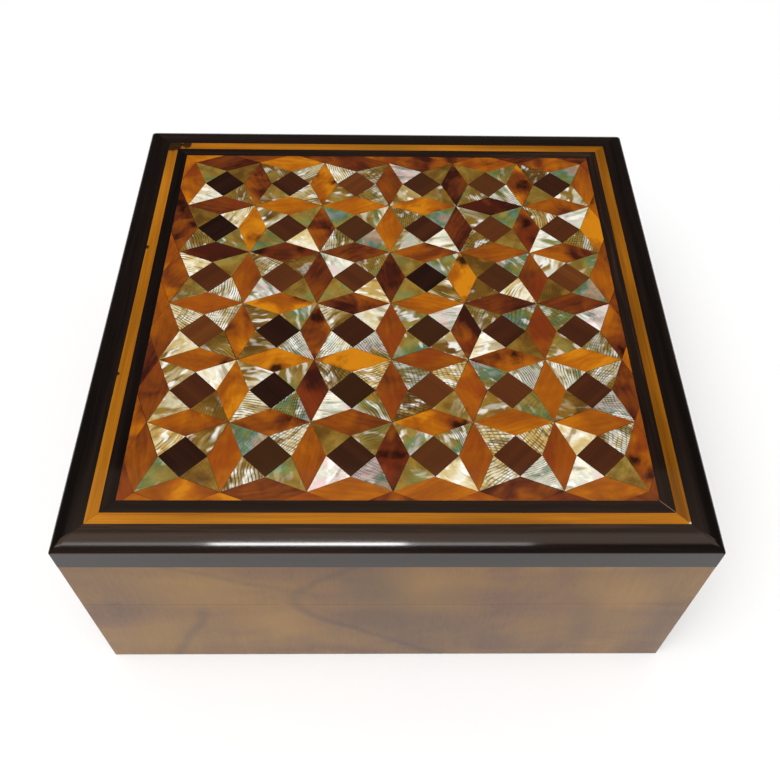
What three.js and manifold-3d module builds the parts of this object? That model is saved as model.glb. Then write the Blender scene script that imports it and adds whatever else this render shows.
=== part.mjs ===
// A square jewellery box with a deep lift-off lid. The body and the lid's rim are walnut
// boards mitred at the corners; a rounded ebony edging, a light and a dark stringing and
// a flush marquetry of eight-pointed stars in shell and wood cover the lid.
// Millimetres, +Z up, front towards -Y. The origin is the centre of the underside.
import * as THREE from 'three';
import { mergeVertices } from 'three/addons/utils/BufferGeometryUtils.js';
import Module from 'manifold-3d';

const wasm = await Module();
wasm.setup();
const { Manifold, Mesh: SolidMesh } = wasm;

// The box
const boxWidth = 250; // both ways in plan, over the walls
const boxHeight = 102.5;
const seamHeight = 55.5; // where the lid sits on the body
const wallThickness = 13;
const bottomThickness = 8;
const cornerRadius = 2; // the upright corners
const fitGap = 0.3; // between pieces that slip past each other

// The tongue that stands up inside the lid and keeps it in place
const tongueThickness = 6;
const tongueHeight = 6;

// The lid's edging and the two stringings, from the outside in
const edgingWidth = 11.25;
const edgingDepth = 13.25;
const edgingRound = 4; // quarter round along the top outer edge
const lightWidth = 4.75;
const darkWidth = 5.4;
const inlayThickness = 2;

// The star marquetry: square cells, each a dark square set cornerwise between four
// shell triangles, with a wood lozenge over every line between two cells
const cellCount = 6;
const cellSize = 33;
const fieldShift = new THREE.Vector2(1.1, -0.7); // laid by hand, a little off centre
const fieldTurn = THREE.MathUtils.degToRad(0.25);
const kerf = 0.3; // glue line between two tiles

// The small bridges that join the tiles of one kind where they touch
const bridgeReach = 1.5; // from a grid point to the middle of a shell bridge
const bridgeLength = 3.6;
const bridgeWidth = 0.8;
const shellTipCut = 1.1; // how far a shell tile stops short of its grid point
const lozengeTipCut = bridgeReach + bridgeWidth / 2 + fitGap;
const cornerBridgeInset = 0.5; // from a square's corner to the middle of its bridge
const cornerBridgeLength = 2.6;
const cornerBridgeWidth = 0.5;
const squareCornerCut = cornerBridgeInset + cornerBridgeWidth / 2 + fitGap;
const knotRadius = 0.75; // wood bridge at a grid point

// Worked out from the dimensions above
const boxHalf = boxWidth / 2;
const innerHalf = boxHalf - wallThickness;
const lidHeight = boxHeight - seamHeight;
const rimHeight = lidHeight - edgingDepth;
const edgingInner = boxHalf - edgingWidth;
const lightInner = edgingInner - lightWidth;
const fieldHalf = lightInner - darkWidth;
const inlayBase = lidHeight - inlayThickness; // above the seam
const squareReach = cellSize * (1 - Math.SQRT1_2); // square's middle to its corner
const lozengeHalfWidth = cellSize / 2 - squareReach;

const arcSteps = 4; // faces round an upright corner
const roundSteps = 6; // faces over the edging's quarter round

const sides = ['front', 'right', 'back', 'left']; // each a quarter turn from the last

function material(color, roughness) {
  return new THREE.MeshStandardMaterial({ color, roughness, metalness: 0 });
}

const walnut = material('#8a6b4e', 0.3);
const ebony = material('#231a16', 0.2);
const lightWood = material('#c07a22', 0.3);
const darkWood = material('#2a1713', 0.3);
const amberWood = material('#b5651a', 0.25);
const squareWood = material('#45261a', 0.3);
const shell = material('#c9cfb4', 0.2);
const linerWood = material('#a3825f', 0.6);

// ---- flat outlines: convex, anticlockwise lists of Vector2 ----

// The part of an outline where normal . point <= distance.
function clip(outline, normal, distance) {
  const kept = [];
  outline.forEach((point, index) => {
    const next = outline[(index + 1) % outline.length];
    const here = normal.dot(point) - distance;
    const there = normal.dot(next) - distance;
    if (here <= 0) kept.push(point.clone());
    if (here * there < 0) kept.push(point.clone().lerp(next, here / (here - there)));
  });
  return kept;
}

// An outline drawn in by the same gap on every side.
function inset(outline, gap) {
  let result = outline;
  outline.forEach((point, index) => {
    const next = outline[(index + 1) % outline.length];
    const outward = new THREE.Vector2(next.y - point.y, point.x - next.x).normalize();
    result = clip(result, outward, outward.dot(point) - gap);
  });
  return result;
}

// A rectangle around a middle point, its length along a direction.
function bar(middle, direction, length, width) {
  const along = direction.clone().setLength(length / 2);
  const across = new THREE.Vector2(-direction.y, direction.x).setLength(width / 2);
  return [
    middle.clone().sub(along).sub(across),
    middle.clone().add(along).sub(across),
    middle.clone().add(along).add(across),
    middle.clone().sub(along).add(across),
  ];
}

// A square round the origin with rounded corners.
function roundedSquare(half, radius) {
  if (radius === 0) return bar(new THREE.Vector2(), new THREE.Vector2(1, 0), 2 * half, 2 * half);
  const points = [];
  for (let corner = 0; corner < 4; corner += 1) {
    const middle = new THREE.Vector2(half - radius, half - radius);
    middle.rotateAround(new THREE.Vector2(), (corner * Math.PI) / 2);
    for (let step = 0; step <= arcSteps; step += 1) {
      const angle = ((corner + step / arcSteps) * Math.PI) / 2;
      points.push(new THREE.Vector2(Math.cos(angle), Math.sin(angle)).multiplyScalar(radius).add(middle));
    }
  }
  return points;
}

// The front one of four mitred strips between two squares.
function frontStrip(outerHalf, innerEdge, radius) {
  let outline = roundedSquare(outerHalf, radius);
  outline = clip(outline, new THREE.Vector2(1, 1), 0);
  outline = clip(outline, new THREE.Vector2(-1, 1), 0);
  return clip(outline, new THREE.Vector2(0, 1), -innerEdge);
}

// ---- solids ----

function prism(outline, height, base = 0) {
  const geometry = new THREE.ExtrudeGeometry(new THREE.Shape(outline), {
    depth: height,
    bevelEnabled: false,
  });
  return geometry.translate(0, 0, base);
}

// A solid skinned over level rings of equally many points, lowest first.
function skinnedRings(rings) {
  const count = rings[0].length;
  const places = rings.flat().flatMap((point) => point.toArray());
  const faces = [];
  for (let ring = 0; ring + 1 < rings.length; ring += 1) {
    for (let index = 0; index < count; index += 1) {
      const a = ring * count + index;
      const b = ring * count + ((index + 1) % count);
      faces.push(a, b, b + count, a, b + count, a + count);
    }
  }
  const top = (rings.length - 1) * count;
  for (let index = 1; index + 1 < count; index += 1) {
    faces.push(0, index + 1, index);
    faces.push(top, top + index, top + index + 1);
  }
  const geometry = new THREE.BufferGeometry();
  geometry.setAttribute('position', new THREE.Float32BufferAttribute(places, 3));
  geometry.setIndex(faces);
  return geometry;
}

function solidFrom(geometry) {
  const bare = geometry.clone();
  bare.deleteAttribute('normal');
  bare.deleteAttribute('uv');
  const merged = mergeVertices(bare, 1e-5);
  return new Manifold(
    new SolidMesh({
      numProp: 3,
      vertProperties: new Float32Array(merged.attributes.position.array),
      triVerts: new Uint32Array(merged.index.array),
    }),
  );
}

function geometryFrom(solid) {
  const { vertProperties, triVerts } = solid.getMesh();
  const geometry = new THREE.BufferGeometry();
  geometry.setAttribute('position', new THREE.Float32BufferAttribute(vertProperties, 3));
  geometry.setIndex(Array.from(triVerts));
  geometry.computeVertexNormals();
  return geometry;
}

// One solid of many, its flat faces made whole again.
function joined(geometries) {
  return geometryFrom(Manifold.union(geometries.map(solidFrom)).asOriginal().simplify());
}

function piece(name, geometry, look) {
  const mesh = new THREE.Mesh(geometry, look);
  mesh.name = name;
  return mesh;
}

// Four copies of the front piece, a quarter turn apart.
function fourSides(name, geometry, look) {
  return sides.map((side, index) => {
    const mesh = piece(`${name}_${side}`, geometry, look);
    mesh.rotation.z = (index * Math.PI) / 2;
    return mesh;
  });
}

// ---- the body ----

function makeBody() {
  const body = new THREE.Group();
  const wall = prism(frontStrip(boxHalf, innerHalf, cornerRadius), seamHeight);
  const tongue = prism(frontStrip(innerHalf + tongueThickness, innerHalf, 0), seamHeight + tongueHeight);
  body.add(...fourSides('body_wall', joined([wall, tongue]), walnut));

  const bottomHalf = innerHalf - fitGap;
  const bottom = prism(roundedSquare(bottomHalf, 0), bottomThickness);
  body.add(piece('body_bottom', bottom, linerWood));
  return body;
}

// ---- the lid, measured up from the seam ----

function makeRim() {
  const rim = solidFrom(prism(frontStrip(boxHalf, innerHalf, cornerRadius), rimHeight));
  const rebateHalf = innerHalf + tongueThickness + fitGap;
  const rebate = prism(roundedSquare(rebateHalf, 0), tongueHeight + 2 * fitGap, -fitGap);
  return geometryFrom(rim.subtract(solidFrom(rebate)));
}

function makeEdging() {
  const rings = [];
  const addRing = (half, height) => {
    rings.push(roundedSquare(half, cornerRadius).map(({ x, y }) => new THREE.Vector3(x, y, height)));
  };
  addRing(boxHalf, rimHeight);
  for (let step = 0; step <= roundSteps; step += 1) {
    const angle = (step / roundSteps) * (Math.PI / 2);
    const drawnIn = edgingRound * (1 - Math.cos(angle));
    addRing(boxHalf - drawnIn, lidHeight - edgingRound * (1 - Math.sin(angle)));
  }
  const block = solidFrom(skinnedRings(rings));
  const strip = solidFrom(prism(frontStrip(boxWidth, edgingInner, 0), 2 * lidHeight));
  return geometryFrom(block.intersect(strip));
}

function makeLidFrame() {
  const frame = new THREE.Group();
  frame.add(...fourSides('lid_rim', makeRim(), walnut));
  frame.add(...fourSides('ebony_edging', makeEdging(), ebony));

  const boardThickness = inlayBase - rimHeight;
  const board = prism(roundedSquare(edgingInner, 0), boardThickness, rimHeight);
  frame.add(piece('lid_board', board, linerWood));
  return frame;
}

function makeStringing() {
  const stringing = new THREE.Group();
  const light = prism(frontStrip(edgingInner, lightInner, 0), inlayThickness);
  const dark = prism(frontStrip(lightInner, fieldHalf, 0), inlayThickness);
  stringing.add(...fourSides('light_stringing', light, lightWood));
  stringing.add(...fourSides('dark_stringing', dark, darkWood));
  return stringing;
}

// ---- the marquetry ----

function gridPoint(column, row) {
  return new THREE.Vector2(column, row).subScalar(cellCount / 2).multiplyScalar(cellSize);
}

function direction(degrees) {
  const angle = THREE.MathUtils.degToRad(degrees);
  return new THREE.Vector2(Math.cos(angle), Math.sin(angle));
}

function pointFrom(start, degrees, distance) {
  return direction(degrees).multiplyScalar(distance).add(start);
}

// Cuts an outline square across, at a distance from a point in a direction,
// and keeps the side away from the point.
function cutTip(outline, point, degrees, distance) {
  const back = direction(degrees).negate();
  return clip(outline, back, back.dot(point) - distance);
}

// Puts an outline of the star pattern where it lies on the lid, kept inside the field.
function onField(outline) {
  let placed = outline.map((point) => point.clone().rotateAround(new THREE.Vector2(), fieldTurn).add(fieldShift));
  for (let side = 0; side < 4; side += 1) {
    placed = clip(placed, direction(side * 90), fieldHalf);
  }
  return placed;
}

function tile(outline) {
  return prism(inset(onField(outline), kerf / 2), inlayThickness);
}

function bridge(outline) {
  return prism(onField(outline), inlayThickness);
}

// The four shell tiles of a cell, and the bridges past its square's corners.
function cellShell(column, row) {
  const centre = gridPoint(column + 0.5, row + 0.5);
  const parts = [];
  for (let turn = 0; turn < 360; turn += 90) {
    const tip = pointFrom(centre, turn + 45, cellSize * Math.SQRT1_2);
    const outline = [pointFrom(centre, turn, squareReach), tip, pointFrom(centre, turn + 90, squareReach)];
    parts.push(tile(cutTip(outline, tip, turn + 225, shellTipCut)));
    const middle = pointFrom(centre, turn, squareReach - cornerBridgeInset);
    parts.push(bridge(bar(middle, direction(turn + 90), cornerBridgeLength, cornerBridgeWidth)));
  }
  return parts;
}

// Cells are joined along each row under its upper grid line, and the rows at the left
// border. The wood is joined on the other side of each of those grid points.
function shellBridges() {
  const parts = [];
  for (let column = 1; column < cellCount; column += 1) {
    for (let row = 1; row <= cellCount; row += 1) {
      const middle = pointFrom(gridPoint(column, row), -90, bridgeReach);
      parts.push(bridge(bar(middle, direction(0), bridgeLength, bridgeWidth)));
    }
  }
  for (let row = 1; row < cellCount; row += 1) {
    const middle = pointFrom(gridPoint(0, row), 0, bridgeReach);
    parts.push(bridge(bar(middle, direction(90), bridgeLength, bridgeWidth)));
  }
  return parts;
}

// A lozenge from a grid point to the next one.
function lozenge(start, degrees) {
  const middle = pointFrom(start, degrees, cellSize / 2);
  return [
    start,
    pointFrom(middle, degrees - 90, lozengeHalfWidth),
    pointFrom(start, degrees, cellSize),
    pointFrom(middle, degrees + 90, lozengeHalfWidth),
  ];
}

// All the lozenges, each blunt at an end where a shell bridge passes.
function lozenges() {
  const tiles = [];
  for (let line = 0; line <= cellCount; line += 1) {
    for (let step = 0; step < cellCount; step += 1) {
      const west = gridPoint(step, line);
      const level = lozenge(west, 0);
      const crossed = step === 0 && line > 0 && line < cellCount;
      tiles.push(tile(crossed ? cutTip(level, west, 0, lozengeTipCut) : level));

      const north = gridPoint(line, step + 1);
      const upright = lozenge(gridPoint(line, step), 90);
      const underBridge = line > 0 && line < cellCount;
      tiles.push(tile(underBridge ? cutTip(upright, north, -90, lozengeTipCut) : upright));
    }
  }
  return tiles;
}

// The pieces between the outer lozenges and the stringing: one wedge at each grid
// point of the border, and two at each corner, which meet on the mitre.
function borderWedges() {
  const far = cellSize / 4;
  const tiles = [];
  for (let side = 0; side < 4; side += 1) {
    const outward = side * 90 - 90;
    const quarter = (point) => point.rotateAround(new THREE.Vector2(), THREE.MathUtils.degToRad(side * 90));
    for (let step = 1; step < cellCount; step += 1) {
      const point = quarter(gridPoint(step, 0));
      tiles.push(tile([point, pointFrom(point, outward - 67.5, far * 2), pointFrom(point, outward + 67.5, far * 2)]));
    }
    const first = quarter(gridPoint(0, 0));
    const last = quarter(gridPoint(cellCount, 0));
    const reach = far * 2;
    tiles.push(tile([
      first,
      pointFrom(first, outward - 45, reach),
      pointFrom(first, outward + 11.25, reach),
      pointFrom(first, outward + 67.5, reach),
    ]));
    tiles.push(tile([
      last,
      pointFrom(last, outward - 67.5, reach),
      pointFrom(last, outward - 11.25, reach),
      pointFrom(last, outward + 45, reach),
    ]));
  }
  return tiles;
}

// A small square of wood at each grid point, clear of the shell bridge beside it.
function woodKnots() {
  const parts = [];
  for (let column = 0; column <= cellCount; column += 1) {
    for (let row = 0; row <= cellCount; row += 1) {
      const side = knotRadius * Math.SQRT2;
      parts.push(bridge(bar(gridPoint(column, row), direction(45), side, side)));
    }
  }
  return parts;
}

function darkSquares() {
  const corners = [0, 90, 180, 270];
  let outline = corners.map((turn) => pointFrom(new THREE.Vector2(), turn, squareReach));
  for (const turn of corners) {
    const corner = pointFrom(new THREE.Vector2(), turn, squareReach);
    outline = cutTip(outline, corner, turn + 180, squareCornerCut);
  }
  const geometry = prism(inset(outline, kerf / 2), inlayThickness);
  const squares = [];
  for (let row = 0; row < cellCount; row += 1) {
    for (let column = 0; column < cellCount; column += 1) {
      const square = piece(`dark_square_${row + 1}_${column + 1}`, geometry, squareWood);
      const place = gridPoint(column + 0.5, row + 0.5);
      square.position.set(place.x, place.y, 0);
      squares.push(square);
    }
  }
  return squares;
}

function makeMarquetry() {
  const marquetry = new THREE.Group();
  const shellTiles = [];
  for (let row = 0; row < cellCount; row += 1) {
    for (let column = 0; column < cellCount; column += 1) {
      shellTiles.push(...cellShell(column, row));
    }
  }
  marquetry.add(piece('shell_stars', joined([...shellTiles, ...shellBridges()]), shell));
  const wood = [...lozenges(), ...borderWedges(), ...woodKnots()];
  marquetry.add(piece('wood_lozenges', joined(wood), amberWood));

  const squares = new THREE.Group();
  squares.add(...darkSquares());
  squares.position.set(fieldShift.x, fieldShift.y, 0);
  squares.rotation.z = fieldTurn;
  marquetry.add(squares);
  return marquetry;
}

function makeLid() {
  const lid = new THREE.Group();
  lid.add(makeLidFrame());

  const inlay = new THREE.Group();
  inlay.add(makeStringing(), makeMarquetry());
  inlay.position.z = inlayBase;
  lid.add(inlay);

  lid.position.z = seamHeight;
  return lid;
}

const box = new THREE.Group();
box.add(makeBody(), makeLid());

export default box;
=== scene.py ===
import math
import random

import bmesh
import bpy
from mathutils import Matrix, Vector


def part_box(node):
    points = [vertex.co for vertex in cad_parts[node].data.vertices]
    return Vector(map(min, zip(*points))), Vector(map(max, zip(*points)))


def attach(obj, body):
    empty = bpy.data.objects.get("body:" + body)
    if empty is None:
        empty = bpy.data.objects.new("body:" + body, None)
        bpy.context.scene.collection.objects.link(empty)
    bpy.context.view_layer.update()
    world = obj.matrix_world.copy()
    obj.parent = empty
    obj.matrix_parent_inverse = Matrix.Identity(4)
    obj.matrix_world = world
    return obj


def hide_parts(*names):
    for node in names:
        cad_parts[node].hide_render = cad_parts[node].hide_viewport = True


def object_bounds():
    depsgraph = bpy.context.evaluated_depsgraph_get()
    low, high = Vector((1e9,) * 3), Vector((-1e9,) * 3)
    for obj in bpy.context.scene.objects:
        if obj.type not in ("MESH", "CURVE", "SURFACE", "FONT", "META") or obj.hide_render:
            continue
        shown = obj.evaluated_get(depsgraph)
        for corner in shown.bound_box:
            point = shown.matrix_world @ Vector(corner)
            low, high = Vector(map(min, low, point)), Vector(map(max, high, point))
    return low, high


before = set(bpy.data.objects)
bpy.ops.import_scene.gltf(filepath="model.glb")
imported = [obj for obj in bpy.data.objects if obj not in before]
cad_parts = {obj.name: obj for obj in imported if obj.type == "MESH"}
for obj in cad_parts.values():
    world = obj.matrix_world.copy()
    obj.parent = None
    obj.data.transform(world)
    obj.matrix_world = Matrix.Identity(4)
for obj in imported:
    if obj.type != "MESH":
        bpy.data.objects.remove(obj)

cadLow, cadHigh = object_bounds()
print("frame loaded:", len(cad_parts), "nodes")


tolerance = 1e-5  # how near two places count as the same, in metres


# small helpers for work in object and edit mode

def onlySelect(piece):
    bpy.ops.object.select_all(action="DESELECT")
    piece.select_set(True)
    bpy.context.view_layer.objects.active = piece


def editMode(piece):
    onlySelect(piece)
    bpy.ops.object.mode_set(mode="EDIT")


def objectMode():
    bpy.ops.object.mode_set(mode="OBJECT")


def pick(piece, mode, test):
    # selects the faces, edges or verts that pass a test, by their place or normal
    bpy.ops.mesh.select_mode(type={"faces": "FACE", "edges": "EDGE", "verts": "VERT"}[mode])
    bpy.ops.mesh.select_all(action="DESELECT")
    mesh = bmesh.from_edit_mesh(piece.data)
    for item in getattr(mesh, mode):
        if test(item):
            item.select_set(True)
    mesh.select_flush_mode()
    bmesh.update_edit_mesh(piece.data)


def applyModifier(piece, kind, **settings):
    onlySelect(piece)
    modifier = piece.modifiers.new(kind.lower(), kind)
    for key, value in settings.items():
        setattr(modifier, key, value)
    bpy.ops.object.modifier_apply(modifier=modifier.name)


def takeName(piece, name):
    piece.name = name
    piece.data.name = name


def copyOf(piece, name):
    twin = piece.copy()
    twin.data = piece.data.copy()
    bpy.context.collection.objects.link(twin)
    takeName(twin, name)
    return twin


def putAt(piece, matrix):
    piece.matrix_world = matrix
    onlySelect(piece)
    bpy.ops.object.transform_apply(location=True, rotation=True, scale=True)


def saw(piece, point, normal):
    # cuts off what lies on the normal's side of a plane and closes the cut
    editMode(piece)
    bpy.ops.mesh.select_all(action="SELECT")
    bpy.ops.mesh.bisect(plane_co=point, plane_no=normal, use_fill=True, clear_outer=True, threshold=1e-7)
    objectMode()


def setGrain(piece, toGrain, tone):
    # grain: place in the wood, X along its fibres; tone: three numbers that differ from piece to piece, and
    # on the mitred rings the first is each side's brightness, partly painted light and shade
    grain = piece.data.attributes.new("grain", "FLOAT_VECTOR", "POINT")
    toneField = piece.data.attributes.new("tone", "FLOAT_VECTOR", "POINT")
    for vertex in piece.data.vertices:
        grain.data[vertex.index].vector = toGrain @ vertex.co
        toneField.data[vertex.index].vector = tone


def wear(piece, material, slotName, *nodes):
    piece.data.materials.clear()
    piece.data.materials.append(material)
    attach(piece, "root")
    if nodes:
        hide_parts(*nodes)


# node helpers

def linear(hexColour):
    parts = [int(hexColour[i:i + 2], 16) / 255 for i in (0, 2, 4)]
    return [p / 12.92 if p <= 0.04045 else ((p + 0.055) / 1.055) ** 2.4 for p in parts] + [1.0]


def addNode(tree, kind, inputs=None, **settings):
    node = tree.nodes.new(kind)
    for key, value in settings.items():
        setattr(node, key, value)
    for key, value in (inputs or {}).items():
        if isinstance(value, bpy.types.NodeSocket):
            tree.links.new(value, node.inputs[key])
        else:
            node.inputs[key].default_value = value
    return node


def calc(tree, operation, *values):
    inputs = dict(enumerate(values))
    return addNode(tree, "ShaderNodeMath", inputs, operation=operation).outputs[0]


def vecCalc(tree, operation, *values):
    inputs = dict(enumerate(values))
    return addNode(tree, "ShaderNodeVectorMath", inputs, operation=operation).outputs[0]


def remap(tree, value, fromLow, fromHigh, toLow=0.0, toHigh=1.0):
    names = ("Value", "From Min", "From Max", "To Min", "To Max")
    inputs = dict(zip(names, (value, fromLow, fromHigh, toLow, toHigh)))
    return addNode(tree, "ShaderNodeMapRange", inputs, interpolation_type="SMOOTHSTEP").outputs[0]


def noise(tree, vector, scale, detail=2.0, roughness=0.5, distortion=0.0):
    inputs = {"Vector": vector, "Scale": scale, "Detail": detail, "Roughness": roughness}
    inputs["Distortion"] = distortion
    return addNode(tree, "ShaderNodeTexNoise", inputs)


def ramp(tree, factor, stops):
    node = addNode(tree, "ShaderNodeValToRGB", {"Fac": factor})
    elements = node.color_ramp.elements
    while len(elements) < len(stops):
        elements.new(0.5)
    for element, (position, hexColour) in zip(elements, stops):
        element.position = position
        element.color = linear(hexColour)
    return node.outputs["Color"]


def blendColour(tree, factor, low, high, how="MIX"):
    node = addNode(tree, "ShaderNodeMix", data_type="RGBA", blend_type=how)
    for index, value in ((0, factor), (6, low), (7, high)):
        if isinstance(value, bpy.types.NodeSocket):
            tree.links.new(value, node.inputs[index])
        else:
            node.inputs[index].default_value = value
    return node.outputs[2]


def shaded(tree, colour, amount):
    # darkens or lightens a colour by a plain factor
    factor = addNode(tree, "ShaderNodeCombineXYZ", {0: amount, 1: amount, 2: amount}).outputs[0]
    return blendColour(tree, 1.0, colour, factor, "MULTIPLY")


def newGroup(name, inputs, outputs):
    # inputs: name to default, a number or a vector; outputs: names of values
    group = bpy.data.node_groups.new(name, "ShaderNodeTree")
    for key, default in inputs.items():
        kind = "NodeSocketVector" if isinstance(default, tuple) else "NodeSocketFloat"
        socket = group.interface.new_socket(name=key, in_out="INPUT", socket_type=kind)
        socket.default_value = default
    for key in outputs:
        group.interface.new_socket(name=key, in_out="OUTPUT", socket_type="NodeSocketFloat")
    start = group.nodes.new("NodeGroupInput")
    end = group.nodes.new("NodeGroupOutput")
    return group, start.outputs, end.inputs


def useGroup(tree, group, **inputs):
    node = tree.nodes.new("ShaderNodeGroup")
    node.node_tree = group
    for key, value in inputs.items():
        socket = node.inputs[key]
        if isinstance(value, bpy.types.NodeSocket):
            tree.links.new(value, socket)
        else:
            socket.default_value = value
    return node.outputs


# effects that several materials share

def makeFibreGroup():
    # streaks along X: fine fibres and the broad bands of the year rings
    inputs = {"Vector": (0.0, 0.0, 0.0), "Along": 40.0, "Across": 1200.0, "Waver": 0.002}
    group, given, out = newGroup("woodFibre", inputs, ["Fibre", "Band"])
    drift = noise(group, given["Vector"], 18.0, 2.0).outputs["Color"]
    shift = vecCalc(group, "MULTIPLY_ADD", drift, (1.0, 1.0, 1.0), (-0.5, -0.5, -0.5))
    scaled = addNode(group, "ShaderNodeVectorMath", {0: shift, "Scale": given["Waver"]}, operation="SCALE")
    place = vecCalc(group, "ADD", given["Vector"], scaled.outputs[0])
    split = addNode(group, "ShaderNodeSeparateXYZ", {0: place}).outputs
    along = calc(group, "MULTIPLY", split[0], given["Along"])
    acrossY = calc(group, "MULTIPLY", split[1], given["Across"])
    acrossZ = calc(group, "MULTIPLY", split[2], given["Across"])
    stretched = addNode(group, "ShaderNodeCombineXYZ", {0: along, 1: acrossY, 2: acrossZ}).outputs[0]
    fibre = noise(group, stretched, 1.0, 3.0, 0.6).outputs["Fac"]
    band = noise(group, stretched, 0.13, 2.0, 0.5).outputs["Fac"]
    group.links.new(remap(group, fibre, 0.3, 0.7), out["Fibre"])
    group.links.new(remap(group, band, 0.3, 0.7), out["Band"])
    return group


def makeSmokeLineGroup():
    # a dark line in the figure: it runs up the board (X) and turns back at its knee
    inputs = {
        "Vector": (0.0, 0.0, 0.0), "Knee Height": 0.05, "Knee Place": 0.0,
        "Opening": 1.0, "Lean": 0.0, "Width": 0.004, "Sharpness": 0.004, "Upper": 1.0, "Lower": 1.0,
    }
    group, given, out = newGroup("smokeLine", inputs, ["Line"])
    split = addNode(group, "ShaderNodeSeparateXYZ", {0: given["Vector"]}).outputs
    height = calc(group, "SUBTRACT", split[0], given["Knee Height"])
    squared = calc(group, "MULTIPLY", height, height)
    sharpSquared = calc(group, "MULTIPLY", given["Sharpness"], given["Sharpness"])
    arm = calc(group, "SQRT", calc(group, "ADD", squared, sharpSquared))
    opened = calc(group, "MULTIPLY", calc(group, "SUBTRACT", arm, given["Sharpness"]), given["Opening"])
    leaned = calc(group, "MULTIPLY", height, given["Lean"])
    line = calc(group, "ADD", given["Knee Place"], calc(group, "ADD", opened, leaned))
    away = calc(group, "ABSOLUTE", calc(group, "SUBTRACT", split[1], line))
    near = calc(group, "DIVIDE", away, given["Width"])
    shown = remap(group, height, -0.006, 0.004, given["Lower"], given["Upper"])
    group.links.new(calc(group, "MULTIPLY", remap(group, near, 1.0, 0.0), shown), out["Line"])
    return group


def makeBurlGroup():
    # the clouding, red patches, dark knots and swirls of a burl
    inputs = {"Vector": (0.0, 0.0, 0.0), "Seed": 0.0}
    group, given, out = newGroup("burlFigure", inputs, ["Cloud", "Redness", "Knots", "Halo", "Swirl"])
    far = addNode(group, "ShaderNodeCombineXYZ", {2: calc(group, "MULTIPLY", given["Seed"], 3.0)}).outputs[0]
    place = vecCalc(group, "ADD", given["Vector"], far)
    cloud = noise(group, place, 62.0, 3.0, 0.5, 0.5).outputs["Fac"]
    redness = noise(group, vecCalc(group, "ADD", place, (4.0, 2.0, 6.0)), 55.0, 2.0).outputs["Fac"]
    warp = noise(group, place, 190.0, 3.0, 0.6).outputs["Color"]
    bent = vecCalc(group, "MULTIPLY_ADD", warp, (0.009, 0.009, 0.009), place)
    cells = addNode(group, "ShaderNodeTexVoronoi", {"Vector": bent, "Scale": 78.0}, feature="SMOOTH_F1")
    cells.inputs["Smoothness"].default_value = 0.3
    spot = remap(group, cells.outputs["Distance"], 0.37, 0.12)
    around = remap(group, cells.outputs["Distance"], 0.56, 0.28)
    presence = remap(group, noise(group, place, 38.0, 1.0).outputs["Fac"], 0.47, 0.55)
    swirl = addNode(
        group, "ShaderNodeTexWave",
        {"Vector": place, "Scale": 110.0, "Distortion": 9.0, "Detail": 2.0, "Detail Scale": 0.8},
        bands_direction="Y",
    ).outputs["Fac"]
    group.links.new(remap(group, cloud, 0.3, 0.7), out["Cloud"])
    group.links.new(remap(group, redness, 0.42, 0.62), out["Redness"])
    group.links.new(calc(group, "MULTIPLY", spot, presence), out["Knots"])
    group.links.new(calc(group, "MULTIPLY", around, presence), out["Halo"])
    group.links.new(swirl, out["Swirl"])
    return group


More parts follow.
